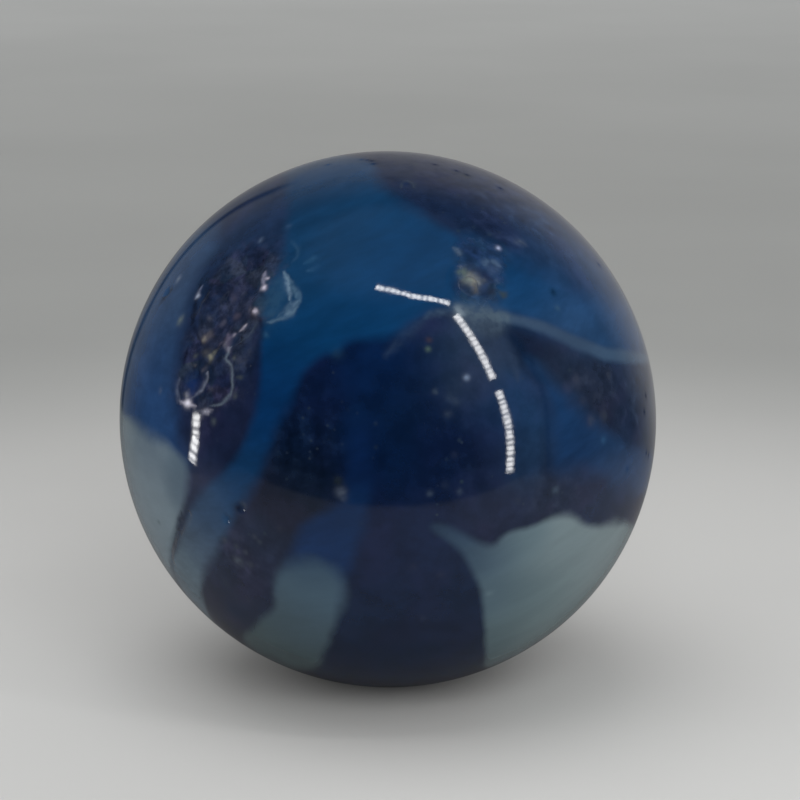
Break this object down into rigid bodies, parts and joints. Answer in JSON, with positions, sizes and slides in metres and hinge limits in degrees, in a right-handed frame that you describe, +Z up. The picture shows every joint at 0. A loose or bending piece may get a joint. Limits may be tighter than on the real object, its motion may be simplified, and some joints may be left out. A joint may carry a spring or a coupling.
{
  "type": "glass marble",
  "caption": "Solid round glass marble, dark amethyst with blue and milky fields flush in its skin, with the chips, moons and pits of play.",
  "frame": {"origin": "centre of the ball", "axes": "+Z up as the ball sits in the picture, front at -Y towards the viewer, +X to the viewer's right"},
  "size_m": [0.0159, 0.016, 0.0159],
  "materials": {
    "glass": "glossy fused glass, chipped and pecked"
  },
  "bodies": {
    "root": {"marble": "glass"}
  },
  "joints": []
}
